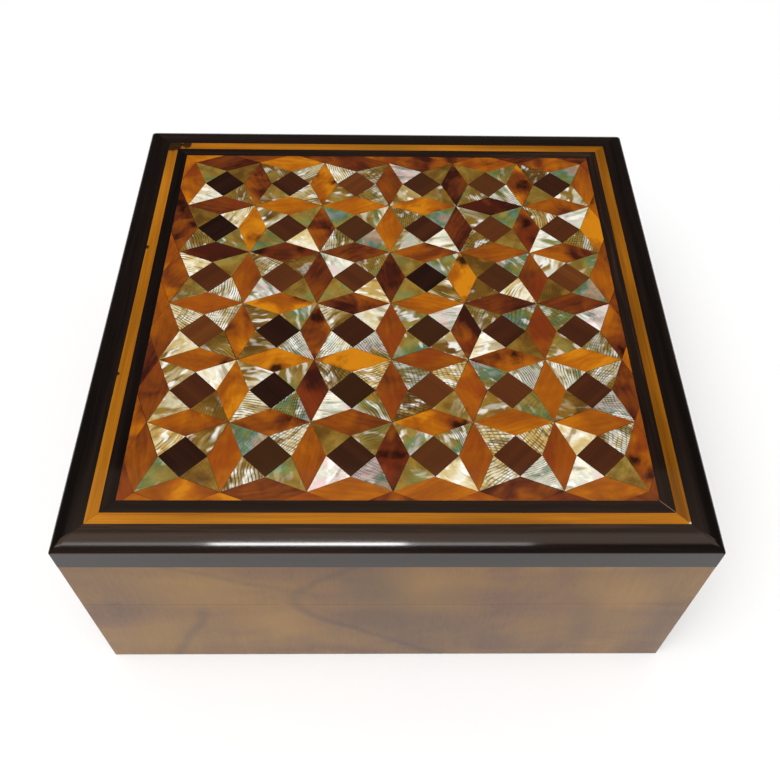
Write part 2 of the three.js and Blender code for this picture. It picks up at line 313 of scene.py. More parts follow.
def makeNacreGroup():
    # shell: slow hue and level changes, bright bands with creases, and fine ribs in two directions
    inputs = {"Vector": (0.0, 0.0, 0.0), "Rib Scale": 290.0, "Brightness": 0.5, "Ribbing": 0.5}
    group, given, out = newGroup("nacre", inputs, ["Hue", "Level", "Bright", "Crease", "Ribs", "Glint"])
    hue = noise(group, given["Vector"], 85.0, 2.0, 0.5, 0.4).outputs["Fac"]
    apart = vecCalc(group, "ADD", given["Vector"], (3.0, 5.0, 7.0))
    level = noise(group, apart, 130.0, 3.0, 0.55, 0.5).outputs["Fac"]

    drift = noise(group, given["Vector"], 70.0, 1.0).outputs["Color"]
    slip = vecCalc(group, "MULTIPLY_ADD", drift, (0.006, 0.006, 0.006), (-0.003, -0.003, -0.003))
    bent = vecCalc(group, "ADD", given["Vector"], slip)
    drawn = vecCalc(group, "MULTIPLY", bent, (0.35, 1.0, 1.0))
    band = noise(group, drawn, 150.0, 2.0, 0.55, 0.3).outputs["Fac"]
    streak = noise(group, vecCalc(group, "MULTIPLY", bent, (0.15, 1.0, 1.0)), 330.0, 1.0).outputs["Fac"]
    banded = calc(group, "MULTIPLY_ADD", calc(group, "SUBTRACT", streak, 0.5), 0.3, band)
    threshold = calc(group, "MULTIPLY_ADD", given["Brightness"], -0.66, 0.91)
    bright = remap(group, calc(group, "SUBTRACT", banded, threshold), -0.07, 0.08)

    ribs = []
    for turn, spread in ((0.0, 1.0), (1.25, 0.6)):
        turned = addNode(
            group, "ShaderNodeVectorRotate", {"Vector": bent, "Angle": turn}, rotation_type="Z_AXIS",
        ).outputs[0]
        wave = addNode(
            group, "ShaderNodeTexWave",
            {"Vector": turned, "Scale": calc(group, "MULTIPLY", given["Rib Scale"], spread),
             "Distortion": 1.0, "Detail": 1.0, "Detail Scale": 0.6, "Detail Roughness": 0.5},
            bands_direction="Y",
        ).outputs["Fac"]
        ribs.append(remap(group, wave, 0.46, 0.08))
    patch = noise(group, given["Vector"], 140.0, 1.0).outputs["Fac"]
    grown = calc(group, "MULTIPLY_ADD", patch, 0.8, given["Ribbing"])
    straight = calc(group, "MULTIPLY", ribs[0], remap(group, grown, 0.80, 0.98))
    crossing = calc(group, "MULTIPLY", ribs[1], remap(group, grown, 1.05, 1.20, 0.0, 0.7))
    uneven = remap(group, noise(group, bent, 330.0, 1.0).outputs["Fac"], 0.32, 0.55, 0.35, 1.0)
    ribbed = calc(group, "MULTIPLY", calc(group, "MAXIMUM", straight, crossing), uneven)

    # painted highlight: soft glint spots that the shell colour turns near-white, for the shell's lustre
    # catching the light
    glint = noise(group, vecCalc(group, "MULTIPLY", bent, (0.5, 1.0, 1.0)), 300.0, 1.0).outputs["Fac"]
    group.links.new(remap(group, hue, 0.3, 0.7), out["Hue"])
    group.links.new(remap(group, level, 0.3, 0.7), out["Level"])
    group.links.new(bright, out["Bright"])
    group.links.new(remap(group, streak, 0.45, 0.30), out["Crease"])
    group.links.new(ribbed, out["Ribs"])
    group.links.new(remap(group, glint, 0.56, 0.70), out["Glint"])
    return group


def makeSpotGroup():
    # a soft round mark at one place on the box, with a ragged outline
    inputs = {"Vector": (0.0, 0.0, 0.0), "Centre": (0.0, 0.0, 0.0), "Radius": 0.001}
    group, given, out = newGroup("spot", inputs, ["Mask"])
    ragged = noise(group, given["Vector"], 600.0, 2.0).outputs["Fac"]
    inputs = {0: given["Vector"], 1: given["Centre"]}
    away = addNode(group, "ShaderNodeVectorMath", inputs, operation="DISTANCE").outputs["Value"]
    near = calc(group, "DIVIDE", away, given["Radius"])
    near = calc(group, "ADD", near, calc(group, "SUBTRACT", ragged, 0.5))
    group.links.new(remap(group, near, 1.1, 0.8), out["Mask"])
    return group


fibreGroup = makeFibreGroup()
spotGroup = makeSpotGroup()
smokeLineGroup = makeSmokeLineGroup()
burlGroup = makeBurlGroup()
nacreGroup = makeNacreGroup()
print("shader groups ready")


# materials

lacquer = {"coat": 0.88, "coatRoughness": 0.05, "coatIor": 1.5}


def newMaterial(name):
    material = bpy.data.materials.new(name)
    material.use_nodes = True
    tree = material.node_tree
    shader = tree.nodes["Principled BSDF"]
    grain = addNode(tree, "ShaderNodeAttribute", attribute_name="grain").outputs["Vector"]
    tone = addNode(tree, "ShaderNodeAttribute", attribute_name="tone").outputs["Vector"]
    tones = addNode(tree, "ShaderNodeSeparateXYZ", {0: tone}).outputs
    return material, tree, shader, grain, tones


def lacquered(shader, coat=lacquer["coat"]):
    shader.inputs["Coat Weight"].default_value = coat
    shader.inputs["Coat Roughness"].default_value = lacquer["coatRoughness"]
    shader.inputs["Coat IOR"].default_value = lacquer["coatIor"]
    shader.inputs["Specular IOR Level"].default_value = 0.0


def addBump(tree, shader, height, strength, distance):
    inputs = {"Height": height, "Strength": strength, "Distance": distance}
    bump = addNode(tree, "ShaderNodeBump", inputs)
    tree.links.new(bump.outputs["Normal"], shader.inputs["Normal"])


walnutLook = {
    "tones": [(0.0, "5d402d"), (0.38, "6e4d31"), (0.7, "7d5a2e"), (1.0, "8e6932")],
    "smoke": "40312b",
    "smokeLines": [
        # knee height, knee place, opening, lean, width, sharpness, strength above and below the knee
        (0.056, -0.037, 1.25, -0.2, 0.0060, 0.014, 0.32, 0.40),
        (0.053, -0.077, -0.35, 0.1, 0.0050, 0.014, 0.04, 0.34),
        (0.066, -0.034, 0.0, -2.1, 0.008, 0.004, 0.22, 0.0),
        (0.092, -0.018, 0.4, -0.5, 0.026, 0.02, 0.22, 0.22),
        (0.026, 0.006, 0.4, -0.5, 0.022, 0.02, 0.35, 0.35),
        (0.028, 0.084, -0.5, 0.2, 0.014, 0.01, 0.22, 0.22),
        (0.040, 0.122, -0.4, 0.0, 0.012, 0.01, 0.2, 0.2),
        (0.072, 0.068, -0.8, 0.5, 0.008, 0.01, 0.16, 0.12),
    ],
    "warm": "98702f",
    "poreShade": 0.8,
    "coat": 0.74,
    # height up the board, place along it, radius and strength of the warm patches
    "warmPatches": [
        (0.069, -0.075, 0.026, 0.5), (0.040, -0.045, 0.024, 0.65), (0.070, 0.008, 0.030, 0.55),
        (0.020, -0.105, 0.024, 0.3), (0.060, 0.090, 0.030, 0.35),
    ],
    "roughness": 0.4,
}


def makeWalnut():
    look = walnutLook
    material, tree, shader, grain, tones = newMaterial("walnut")
    bent = grain
    for scale, reach in ((13.0, 0.014), (48.0, 0.005)):
        drift = noise(tree, grain, scale, 2.0).outputs["Color"]
        half = (-reach / 2, -reach / 2, -reach / 2)
        slip = vecCalc(tree, "MULTIPLY_ADD", drift, (reach, reach, reach), half)
        bent = vecCalc(tree, "ADD", bent, slip)
    fibre = useGroup(tree, fibreGroup, Vector=grain, Along=26.0, Across=520.0, Waver=0.012)
    flow = vecCalc(tree, "MULTIPLY", bent, (1.0, 0.36, 1.0))
    cloud = remap(tree, noise(tree, flow, 34.0, 3.0, 0.5, 0.5).outputs["Fac"], 0.3, 0.7)
    level = calc(tree, "MULTIPLY_ADD", cloud, 0.56, 0.1)
    level = calc(tree, "MULTIPLY_ADD", fibre["Band"], 0.16, level)
    level = calc(tree, "MULTIPLY_ADD", fibre["Fibre"], 0.10, level)
    colour = ramp(tree, level, look["tones"])
    pores = useGroup(tree, fibreGroup, Vector=grain, Along=170.0, Across=2600.0, Waver=0.001)["Fibre"]
    colour = shaded(tree, colour, remap(tree, pores, 0.62, 0.95, 1.0, look["poreShade"]))
    flat = vecCalc(tree, "MULTIPLY", bent, (1.0, 1.0, 0.0))
    for height, place, radius, strength in look["warmPatches"]:
        away = addNode(tree, "ShaderNodeVectorMath", {0: flat, 1: (height, place, 0.0)}, operation="DISTANCE")
        patch = remap(tree, away.outputs["Value"], radius * 1.3, 0.0)
        colour = blendColour(tree, calc(tree, "MULTIPLY", patch, strength), colour, linear(look["warm"]))
    for height, place, opening, lean, width, sharpness, upper, lower in look["smokeLines"]:
        line = useGroup(
            tree, smokeLineGroup, **{
                "Vector": bent, "Knee Height": height, "Knee Place": place, "Opening": opening,
                "Lean": lean, "Width": width, "Sharpness": sharpness, "Upper": upper, "Lower": lower,
            },
        )["Line"]
        colour = blendColour(tree, line, colour, linear(look["smoke"]))
    tree.links.new(colour, shader.inputs["Base Color"])
    shader.inputs["Roughness"].default_value = look["roughness"]
    lacquered(shader, look["coat"])
    return material


ebonyLook = {
    "tones": [(0.0, "0d0907"), (0.45, "19110e"), (0.8, "261a14"), (1.0, "3b2a1e")],
    "roughness": 0.4,
    "coatRoughness": 0.17,
}


def ebonyColour(tree, grain, shade):
    fibre = useGroup(tree, fibreGroup, Vector=grain, Along=14.0, Across=620.0, Waver=0.003)
    level = calc(tree, "MULTIPLY_ADD", fibre["Band"], 0.65, calc(tree, "MULTIPLY", fibre["Fibre"], 0.35))
    return shaded(tree, ramp(tree, level, ebonyLook["tones"]), shade), fibre["Fibre"]


def makeEbony():
    material, tree, shader, grain, tones = newMaterial("ebony")
    # tones[0] is the board's brightness by side, partly painted light and shade
    colour, height = ebonyColour(tree, grain, tones[0])
    tree.links.new(colour, shader.inputs["Base Color"])
    shader.inputs["Roughness"].default_value = ebonyLook["roughness"]
    lacquered(shader)
    shader.inputs["Coat Roughness"].default_value = ebonyLook["coatRoughness"]
    addBump(tree, shader, height, 0.06, 0.0002)
    return material


darkBandLook = {"glue": "8a7458", "gluePlace": (0.1, -0.1), "glueWidth": 0.00022}


def makeDarkBand():
    # ebony, with a pale line of glue in the mitre at one corner
    look = darkBandLook
    material, tree, shader, grain, tones = newMaterial("darkBand")
    # tones[0] is the strip's brightness by side, partly painted light and shade
    colour = ebonyColour(tree, grain, tones[0])[0]
    place = addNode(tree, "ShaderNodeTexCoord").outputs["Object"]
    split = addNode(tree, "ShaderNodeSeparateXYZ", {0: place}).outputs
    offMitre = calc(tree, "ABSOLUTE", calc(tree, "ADD", split[0], split[1]))
    glue = remap(tree, offMitre, look["glueWidth"] * 1.3, look["glueWidth"] * 0.7)
    cornerX = calc(tree, "GREATER_THAN", split[0], look["gluePlace"][0])
    cornerY = calc(tree, "LESS_THAN", split[1], look["gluePlace"][1])
    glue = calc(tree, "MULTIPLY", glue, calc(tree, "MULTIPLY", cornerX, cornerY))
    colour = blendColour(tree, calc(tree, "MULTIPLY", glue, 0.8), colour, linear(look["glue"]))
    tree.links.new(colour, shader.inputs["Base Color"])
    shader.inputs["Roughness"].default_value = ebonyLook["roughness"]
    lacquered(shader)
    return material


lightWoodLook = {
    "tones": [(0.0, "834c0e"), (0.5, "a26212"), (1.0, "b5751d")],
    "roughness": 0.4,
    "stain": "1c120c",
    "pale": "cdb98f",
    # place on the box and radius; the first is a missing bit at the back left corner
    "stains": [
        ((-0.1115, 0.1115, 0.1025), 0.0045),
        ((-0.1050, 0.1125, 0.1025), 0.0028),
        ((-0.1137, 0.0350, 0.1025), 0.0012),
        ((-0.1137, -0.0420, 0.1025), 0.0010),
    ],
    "chip": ((0.1134, -0.1134, 0.1025), 0.0006),
}


def makeLightWood():
    look = lightWoodLook
    material, tree, shader, grain, tones = newMaterial("lightWood")
    fibre = useGroup(tree, fibreGroup, Vector=grain, Along=35.0, Across=1500.0, Waver=0.001)
    level = calc(tree, "MULTIPLY_ADD", fibre["Band"], 0.65, calc(tree, "MULTIPLY", fibre["Fibre"], 0.35))
    alongOnly = vecCalc(tree, "MULTIPLY", grain, (1.0, 0.0, 0.0))
    drift = remap(tree, noise(tree, alongOnly, 11.0, 1.0).outputs["Fac"], 0.35, 0.65, 0.72, 1.1)
    # tones[0] is the strip's brightness by side, partly painted light and shade
    colour = shaded(tree, ramp(tree, level, look["tones"]), calc(tree, "MULTIPLY", tones[0], drift))
    place = addNode(tree, "ShaderNodeTexCoord").outputs["Object"]
    marks = [(spot, look["stain"]) for spot in look["stains"]] + [(look["chip"], look["pale"])]
    for (centre, radius), tint in marks:
        mask = useGroup(tree, spotGroup, Vector=place, Centre=centre, Radius=radius)["Mask"]
        colour = blendColour(tree, calc(tree, "MULTIPLY", mask, 0.92), colour, linear(tint))
    tree.links.new(colour, shader.inputs["Base Color"])
    shader.inputs["Roughness"].default_value = look["roughness"]
    lacquered(shader)
    return material


burlLook = {
    "tones": [
        (0.0, "35160e"), (0.15, "552613"), (0.32, "703712"), (0.5, "884610"),
        (0.68, "9a530f"), (0.84, "ad620d"), (1.0, "c57a12"),
    ],
    "red": "7e3112",
    "halo": "5a2410",
    "knot": "220e08",
    "roughness": 0.38,
}


def makeBurl():
    look = burlLook
    material, tree, shader, grain, tones = newMaterial("amberBurl")
    burl = useGroup(tree, burlGroup, Vector=grain, Seed=tones[2])
    fibre = useGroup(tree, fibreGroup, Vector=grain, Along=50.0, Across=700.0, Waver=0.008)
    silk = calc(tree, "MULTIPLY_ADD", fibre["Band"], 0.6, calc(tree, "MULTIPLY", fibre["Fibre"], 0.4))
    level = tones[0]
    for part, share in (
        (silk, remap(tree, tones[1], 0.5, 0.2, 0.10, 0.32)),
        (burl["Cloud"], remap(tree, tones[1], 0.2, 0.9, 0.25, 0.75)),
        (burl["Swirl"], 0.05),
    ):
        level = calc(tree, "MULTIPLY_ADD", calc(tree, "SUBTRACT", part, 0.5), share, level)
    colour = ramp(tree, level, look["tones"])
    red = calc(tree, "MULTIPLY", burl["Redness"], remap(tree, tones[2], 0.4, 0.9, 0.15, 0.9))
    colour = blendColour(tree, calc(tree, "MULTIPLY", red, 0.7), colour, linear(look["red"]))
    knotty = remap(tree, tones[1], 0.38, 0.5)
    halo = calc(tree, "MULTIPLY", burl["Halo"], knotty)
    colour = blendColour(tree, calc(tree, "MULTIPLY", halo, 0.6), colour, linear(look["halo"]))
    knots = calc(tree, "MULTIPLY", burl["Knots"], knotty)
    colour = blendColour(tree, calc(tree, "MULTIPLY", knots, 0.92), colour, linear(look["knot"]))
    tree.links.new(colour, shader.inputs["Base Color"])
    shader.inputs["Roughness"].default_value = look["roughness"]
    lacquered(shader)
    return material


squareLook = {
    "tones": [(0.0, "110908"), (0.3, "2f180f"), (0.55, "472413"), (0.8, "5c3116"), (1.0, "78461a")],
    "olive": "503117",
    "roughness": 0.4,
}


def makeSquareWood():
    look = squareLook
    material, tree, shader, grain, tones = newMaterial("squareWood")
    fibre = useGroup(tree, fibreGroup, Vector=grain, Along=40.0, Across=1300.0, Waver=0.002)
    streak = calc(tree, "MULTIPLY_ADD", fibre["Band"], 0.13, calc(tree, "MULTIPLY", fibre["Fibre"], 0.06))
    level = calc(tree, "MULTIPLY_ADD", tones[0], 0.9, streak)
    colour = ramp(tree, level, look["tones"])
    colour = blendColour(tree, remap(tree, tones[1], 0.7, 1.0, 0.0, 0.45), colour, linear(look["olive"]))
    tree.links.new(colour, shader.inputs["Base Color"])
    shader.inputs["Roughness"].default_value = look["roughness"]
    lacquered(shader)
    return material


shellLook = {
    # quiet tiles run from brown olive through green and teal to grey
    "quiet": [
        (0.0, "6b4a1a"), (0.22, "836124"), (0.46, "8f722f"), (0.60, "8a7a3c"),
        (0.73, "757c42"), (0.84, "607c5e"), (0.93, "7b8e80"), (1.0, "a68e72"),
    ],
    "bright": [
        (0.0, "c5a25a"), (0.2, "dabf7e"), (0.4, "efe0b2"),
        (0.58, "fcf5de"), (0.78, "dde1cd"), (1.0, "edd2cc"),
    ],
    "rib": "3c2e1b",
    # the near-white of the painted glints
    "glint": "fffef6",
    "roughness": 0.25,
    "metal": 0.1,
}


def makeShell():
    look = shellLook
    material, tree, shader, grain, tones = newMaterial("shell")
    nacre = useGroup(
        tree, nacreGroup, **{
            "Vector": grain, "Rib Scale": remap(tree, tones[2], 0.0, 1.0, 250.0, 370.0),
            "Brightness": tones[0], "Ribbing": tones[1],
        },
    )
    hue = calc(tree, "MULTIPLY_ADD", calc(tree, "SUBTRACT", nacre["Hue"], 0.5), 0.45, tones[2])
    quiet = ramp(tree, hue, look["quiet"])
    quiet = shaded(tree, quiet, remap(tree, nacre["Level"], 0.0, 1.0, 0.72, 1.12))
    gloss = calc(tree, "MULTIPLY_ADD", calc(tree, "SUBTRACT", nacre["Level"], 0.3), 0.45, tones[2])
    bright = shaded(tree, ramp(tree, gloss, look["bright"]), remap(tree, tones[0], 0.4, 1.0, 0.45, 1.0))
    amount = calc(tree, "MULTIPLY", nacre["Bright"], remap(tree, tones[0], 0.0, 0.5, 0.35, 0.97))
    colour = blendColour(tree, amount, quiet, bright)
    crease = calc(tree, "MULTIPLY", nacre["Crease"], remap(tree, tones[0], 0.2, 0.6, 0.1, 0.65))
    colour = blendColour(tree, crease, colour, quiet)
    # painted highlight: glints mixed into the colour as near-white spots
    glint = calc(tree, "MULTIPLY", nacre["Glint"], remap(tree, tones[0], 0.1, 0.6, 0.0, 0.8))
    colour = blendColour(tree, glint, colour, linear(look["glint"]))
    ribs = calc(tree, "MULTIPLY", nacre["Ribs"], remap(tree, tones[0], 0.1, 0.6, 0.3, 0.85))
    colour = blendColour(tree, ribs, colour, linear(look["rib"]))
    tree.links.new(colour, shader.inputs["Base Color"])
    shader.inputs["Roughness"].default_value = look["roughness"]
    shader.inputs["Metallic"].default_value = look["metal"]
    addBump(tree, shader, nacre["Level"], 0.5, 0.0008)
    lacquered(shader)
    return material


plainWoodLook = {"tones": [(0.0, "8a6740"), (0.5, "a5804f"), (1.0, "bb9866")], "roughness": 0.62}


def makePlainWood():
    # unlacquered wood inside the box and under it; the CAD nodes wear it, so it reads Object
    look = plainWoodLook
    material = bpy.data.materials.new("plainWood")
    material.use_nodes = True
    tree = material.node_tree
    shader = tree.nodes["Principled BSDF"]
    place = addNode(tree, "ShaderNodeTexCoord").outputs["Object"]
    fibre = useGroup(tree, fibreGroup, Vector=place, Along=12.0, Across=500.0, Waver=0.01)
    level = calc(tree, "MULTIPLY_ADD", fibre["Band"], 0.65, calc(tree, "MULTIPLY", fibre["Fibre"], 0.35))
    tree.links.new(ramp(tree, level, look["tones"]), shader.inputs["Base Color"])
    shader.inputs["Roughness"].default_value = look["roughness"]
    addBump(tree, shader, fibre["Fibre"], 0.15, 0.0003)
    return material


walnut = makeWalnut()
ebony = makeEbony()
lightWood = makeLightWood()
amberBurl = makeBurl()
squareWood = makeSquareWood()
shellMaterial = makeShell()
darkBand = makeDarkBand()
plainWood = makePlainWood()
print("materials ready")


# mitred rings: walls, rim, edging and the two stringings

sides = ["front", "right", "back", "left"]  # each a quarter turn from the last
boxHalf = cadHigh.x
bodyLow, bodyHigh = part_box("body_wall_front")
rimLow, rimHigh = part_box("lid_rim_front")
edgingLow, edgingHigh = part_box("ebony_edging_front")
lightLow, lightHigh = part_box("light_stringing_front")
darkLow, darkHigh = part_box("dark_stringing_front")


def makeRing(outer, inner, low, high):
    # a square frame as one block
    bpy.ops.object.select_all(action="DESELECT")
    bpy.ops.mesh.primitive_cube_add(size=1.0, location=(0, 0, (low + high) / 2))
    ring = bpy.context.object
    ring.scale = (2 * outer, 2 * outer, high - low)
    bpy.ops.object.transform_apply(location=True, rotation=True, scale=True)
    editMode(ring)
    for end in (high, low):
        pick(ring, "faces", lambda face: abs(face.calc_center_median().z - end) < tolerance)
        bpy.ops.mesh.inset(thickness=outer - inner)
        bpy.ops.mesh.delete(type="ONLY_FACE")
    reach = inner + tolerance
    pick(ring, "edges", lambda edge: all(max(abs(v.co.x), abs(v.co.y)) < reach for v in edge.verts))
    bpy.ops.mesh.bridge_edge_loops()
    bpy.ops.mesh.select_all(action="SELECT")
    bpy.ops.mesh.normals_make_consistent(inside=False)
    objectMode()
    return ring


def roundUprights(ring, outer, radius):
    editMode(ring)
    limit = outer - tolerance
    pick(
        ring, "edges",
        lambda edge: all(min(abs(v.co.x), abs(v.co.y)) > limit for v in edge.verts)
        and abs(edge.verts[0].co.z - edge.verts[1].co.z) > tolerance,
    )
    bpy.ops.mesh.bevel(offset=radius, segments=6, affect="EDGES")
    objectMode()


def roundEnd(ring, inner, height, radius, segments):
    # rounds the outer edge loop at one height
    editMode(ring)
    reach = inner + tolerance
    pick(
        ring, "edges",
        lambda edge: all(max(abs(v.co.x), abs(v.co.y)) > reach for v in edge.verts)
        and all(abs(v.co.z - height) < tolerance for v in edge.verts)
        and any(abs(face.normal.z) < 0.5 for face in edge.link_faces),
    )
    bpy.ops.mesh.bevel(offset=radius, segments=segments, affect="EDGES", clamp_overlap=False)
    objectMode()


def sawIntoFour(ring, name, hairline):
    # four boards with mitred ends, each cut from its own copy of the ring
    boards = []
    for index, side in enumerate(sides):
        board = copyOf(ring, name + side.capitalize())
        outward = Matrix.Rotation(index * math.pi / 2, 3, "Z") @ Vector((0, -1, 0))
        for turn in (135, -135):
            normal = Matrix.Rotation(math.radians(turn), 3, "Z") @ outward
            saw(board, outward * hairline, normal)
        boards.append(board)
    bpy.data.objects.remove(ring)
    return boards


def dressRing(boards, material, slotName, node, upFibres, leaves, shades=(1.0, 1.0, 1.0, 1.0)):
    # gives each board its place in the wood: fibres up the board for veneer, along it for strips; shades set
    # each side's brightness, partly painted light and shade
    for index, (board, side) in enumerate(zip(boards, sides)):
        turned = Matrix.Rotation(-index * math.pi / 2, 4, "Z")
        mirror, shift = leaves[index]
        moved = Matrix.Translation((shift, 0, 0)) @ Matrix.Diagonal((mirror, 1, 1, 1)) @ turned
        if upFibres:
            swap = Matrix(((0, 0, 1, 0), (1, 0, 0, 0), (0, 1, 0, 0), (0, 0, 0, 1)))
            moved = swap @ moved
        setGrain(board, moved, (shades[index], 0.0, 0.0))
        wear(board, material, slotName, node + "_" + side)
        onlySelect(board)
        bpy.ops.object.shade_smooth_by_angle(angle=math.radians(35))
        applyModifier(board, "WEIGHTED_NORMAL", keep_sharp=True, weight=100)


walls = {
    "uprightRound": 0.0006,
    "footRound": 0.0008,
    "seamRound": 0.00012,
    "seamGap": 0.00003,
    "hairline": 0.00003,
    # from front to left: 1 or -1 mirrors the veneer leaf, and the shift slides it along
    "leaves": [(1, 0.0), (-1, -0.03), (1, 0.045), (-1, 0.02)],
}


def makeWalls():
    look = walls
    inner = -bodyHigh.y
    seam = rimLow.z - look["seamGap"]
    body = makeRing(boxHalf, inner, bodyLow.z, seam)
    roundUprights(body, boxHalf, look["uprightRound"])
    roundEnd(body, inner, seam, look["seamRound"], 2)
    roundEnd(body, inner, bodyLow.z, look["footRound"], 3)
    boards = sawIntoFour(body, "body", look["hairline"])
    dressRing(boards, walnut, "walnut", "body_wall", True, look["leaves"])
    rim = makeRing(boxHalf, inner, rimLow.z, rimHigh.z)
    roundUprights(rim, boxHalf, look["uprightRound"])
    roundEnd(rim, inner, rimLow.z, look["seamRound"], 2)
    boards = sawIntoFour(rim, "rim", look["hairline"])
    dressRing(boards, walnut, "walnut", "lid_rim", True, look["leaves"])


makeWalls()
print("walls and lid rim ready")

edging = {
    # the top falls to the outer face in a quarter of an ellipse, this wide and this deep
    "roundWidth": 0.008,
    "roundDepth": 0.0026,
    "uprightRound": 0.0004,
    "hairline": 0.00003,
    "leaves": [(1, 0.0), (1, 0.4), (1, 0.9), (1, 1.3)],
    # brightness of each board, front, right, back, left: partly the ebony's own tone, partly painted light
    # and shade for how light falls on each side
    "shades": (0.95, 0.7, 1.5, 0.8),
}


def makeEdging():
    look = edging
    inner = -edgingHigh.y
    ring = makeRing(boxHalf, inner, edgingLow.z, edgingHigh.z)
    weights = ring.data.attributes.new("bevel_weight_edge", "FLOAT", "EDGE")
    top = edgingHigh.z - tolerance
    for edge in ring.data.edges:
        ends = [ring.data.vertices[index].co for index in edge.vertices]
        if min(max(abs(end.x), abs(end.y)) for end in ends) < boxHalf - tolerance:
            continue
        if abs(ends[0].z - ends[1].z) > tolerance:
            weights.data[edge.index].value = look["uprightRound"] / look["roundWidth"]
        elif ends[0].z > top:
            weights.data[edge.index].value = 1.0
    applyModifier(
        ring, "BEVEL", width=look["roundWidth"], segments=20, limit_method="WEIGHT",
        use_clamp_overlap=False, miter_outer="MITER_SHARP",
    )
    editMode(ring)
    pick(ring, "verts", lambda vertex: vertex.co.z > edgingLow.z + tolerance)
    flatter = (1, 1, look["roundDepth"] / look["roundWidth"])
    bpy.ops.transform.resize(value=flatter, center_override=(0, 0, edgingHigh.z))
    objectMode()
    boards = sawIntoFour(ring, "edging", look["hairline"])
    dressRing(boards, ebony, "ebony", "ebony_edging", False, look["leaves"], look["shades"])


makeEdging()

stringing = {
    "hairline": 0.00006,
    "leaves": [(1, 0.0), (1, 0.3), (1, 0.7), (1, 1.1)],
    # brightness of each side's strip, front, right, back, left: partly the wood's own tone, partly painted
    # light and shade for how light falls on each side
    "lightShades": (1.1, 0.74, 0.98, 0.94),
    "darkShades": (1.0, 0.8, 1.0, 0.8),
}


def makeStringing():
    look = stringing
    for tint, low, high, material in (
        ("light", lightLow, lightHigh, lightWood), ("dark", darkLow, darkHigh, darkBand),
    ):
        ring = makeRing(-low.y, -high.y, low.z, high.z)
        boards = sawIntoFour(ring, tint + "Stringing", look["hairline"])
        shades = look[tint + "Shades"]
        dressRing(boards, material, tint + "_wood", tint + "_stringing", False, look["leaves"], shades)


makeStringing()
print("edging and stringings ready")


# the star marquetry

cellCount = 6
firstSquare = (sum(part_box("dark_square_1_1"), Vector()) / 2).xy
lastSquare = (sum(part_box(f"dark_square_{cellCount}_{cellCount}"), Vector()) / 2).xy
endOfRow = (sum(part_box(f"dark_square_1_{cellCount}"), Vector()) / 2).xy
rowLine = endOfRow - firstSquare
cellSize = rowLine.length / (cellCount - 1)
fieldMiddle = (firstSquare + lastSquare) / 2
fieldTurn = math.atan2(rowLine.y, rowLine.x)
fieldHalf = -darkHigh.y
tileTop = cadHigh.z
tileThickness = darkHigh.z - darkLow.z
squareReach = cellSize * (1 - math.sqrt(0.5))
lozengeHalfWidth = cellSize / 2 - squareReach
fieldPlace = Matrix.Translation((*fieldMiddle, 0)) @ Matrix.Rotation(fieldTurn, 4, "Z")

tiles = {
    "kerf": 0.00006,
    "paintedFrontSheen": 0.045,  # painted sheen: shell tiles towards the front are made brighter in colour, standing in for the light they catch
    "wedgeReach": 0.9,  # in cells, before the stringing cuts the border wedges off
    "glueDepth": 0.00015,
    "glueThickness": 0.0001,
    "glue": "2a170d",
    "turnJitter": 0.5,  # degrees
    "shiftJitter": 0.00010,
    "seed": 21,
}
chance = random.Random(tiles["seed"])


def makeTile(corners, sizeX, sizeY, shrink, liftY=0.0):
    # a flat prism: a circle of few corners, pulled to size and extruded down from the lid's top
    bpy.ops.object.select_all(action="DESELECT")
    bpy.ops.mesh.primitive_circle_add(vertices=corners, radius=1.0, fill_type="NGON", location=(0, 0, 0))
    tile = bpy.context.object
    editMode(tile)
    bpy.ops.mesh.select_all(action="SELECT")
    bpy.ops.transform.resize(value=(sizeX * shrink, sizeY * shrink, 1.0), center_override=(0, 0, 0))
    bpy.ops.transform.translate(value=(0, liftY, tileTop))
    bpy.ops.mesh.extrude_region_move(TRANSFORM_OT_translate={"value": (0, 0, -tileThickness)})
    bpy.ops.mesh.select_all(action="SELECT")
    bpy.ops.mesh.normals_make_consistent(inside=False)
    objectMode()
    return tile


def layTile(master, name, place, turn, tone, fibreTurn=None):
    # copies the master tile to its place in the field with a little handwork error
    look = tiles
    slip = Vector([chance.uniform(-1, 1) * look["shiftJitter"] for _ in range(2)] + [0])
    twist = math.radians(turn + chance.uniform(-1, 1) * look["turnJitter"])
    tile = copyOf(master, name)
    onLid = fieldPlace @ Matrix.Translation(Vector((*place, 0)) + slip) @ Matrix.Rotation(twist, 4, "Z")
    putAt(tile, onLid)
    spin = chance.uniform(0, 2 * math.pi) if fibreTurn is None else math.radians(fibreTurn)
    origin = Vector([chance.uniform(0, 9) for _ in range(3)])
    setGrain(tile, Matrix.Translation(origin) @ Matrix.Rotation(spin, 4, "Z") @ onLid.inverted(), tone)
    return tile


def trimToField(tile):
    # cuts off what would lie on the stringing
    edge = fieldHalf - tiles["kerf"] / 2
    for axis in (Vector((1, 0, 0)), Vector((0, 1, 0))):
        for sign in (1, -1):
            if any(axis.dot(v.co) * sign > edge for v in tile.data.vertices):
                saw(tile, axis * sign * edge, axis * sign)


def joinTiles(pieces, name):
    bpy.ops.object.select_all(action="DESELECT")
    for piece in pieces:
        piece.select_set(True)
    bpy.context.view_layer.objects.active = pieces[0]
    bpy.ops.object.join()
    takeName(pieces[0], name)
    return pieces[0]


def shrinkFor(inradius):
    return 1 - tiles["kerf"] / 2 / inradius


def gridPoint(column, row):
    return Vector((column - cellCount / 2, row - cellCount / 2)) * cellSize


def direction(degrees):
    return Vector((math.cos(math.radians(degrees)), math.sin(math.radians(degrees))))


